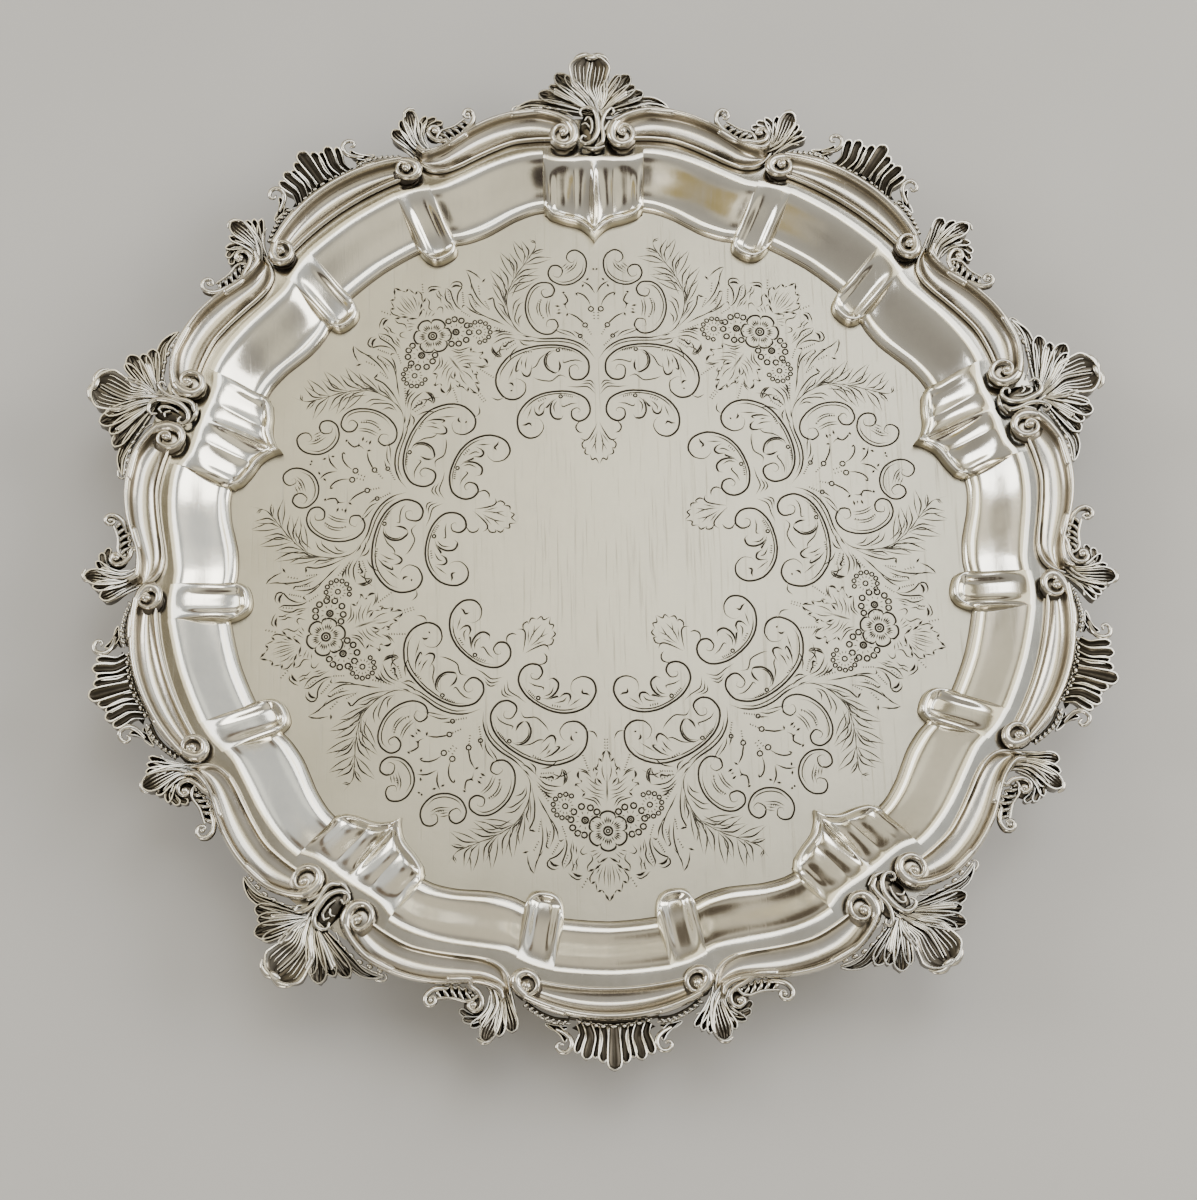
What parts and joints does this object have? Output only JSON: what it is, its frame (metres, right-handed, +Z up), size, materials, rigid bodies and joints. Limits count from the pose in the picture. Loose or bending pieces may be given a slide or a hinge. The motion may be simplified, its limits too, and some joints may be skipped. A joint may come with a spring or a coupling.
{
  "type": "salver",
  "caption": "Footed silver serving tray with a flat engraved plate, a hollow curved rise and an applied cast border of shells, scrolls, leaves and combs.",
  "frame": {"origin": "on the axis of the five-fold outline, in the plane of the feet's soles; the bounding box's middle lies 2.4 mm further along +Y, because a shell stands opposite a comb", "axes": "+Z up, out of the plate's top face; +Y towards the middle of shell_1; +X to the right of it"},
  "size_m": [0.369, 0.38, 0.0372],
  "materials": {
    "sheet_silver": "satin plate with fine scratches, brighter polished rise",
    "moulding_silver": "polished, slightly warm, darker in the grooves",
    "cast_silver": "cast and chased, bright on the rims and tarnished in the recesses",
    "foot_silver": "cast, softly polished"
  },
  "bodies": {
    "root": {"tray_body": "sheet_silver", "shell_1": "cast_silver", "shell_2": "cast_silver", "shell_3": "cast_silver", "shell_4": "cast_silver", "shell_5": "cast_silver", "scroll_left_1": "moulding_silver", "scroll_left_2": "moulding_silver", "scroll_left_3": "moulding_silver", "scroll_left_4": "moulding_silver", "scroll_left_5": "moulding_silver", "scroll_right_1": "moulding_silver", "scroll_right_2": "moulding_silver", "scroll_right_3": "moulding_silver", "scroll_right_4": "moulding_silver", "scroll_right_5": "moulding_silver", "bow_1": "moulding_silver", "bow_2": "moulding_silver", "bow_3": "moulding_silver", "bow_4": "moulding_silver", "bow_5": "moulding_silver", "leaf_left_1": "cast_silver", "leaf_left_2": "cast_silver", "leaf_left_3": "cast_silver", "leaf_left_4": "cast_silver", "leaf_left_5": "cast_silver", "leaf_right_1": "cast_silver", "leaf_right_2": "cast_silver", "leaf_right_3": "cast_silver", "leaf_right_4": "cast_silver", "leaf_right_5": "cast_silver", "comb_1": "cast_silver", "comb_2": "cast_silver", "comb_3": "cast_silver", "comb_4": "cast_silver", "comb_5": "cast_silver", "foot_1": "foot_silver", "foot_2": "foot_silver", "foot_3": "foot_silver", "foot_4": "foot_silver", "foot_5": "foot_silver"}
  },
  "joints": []
}
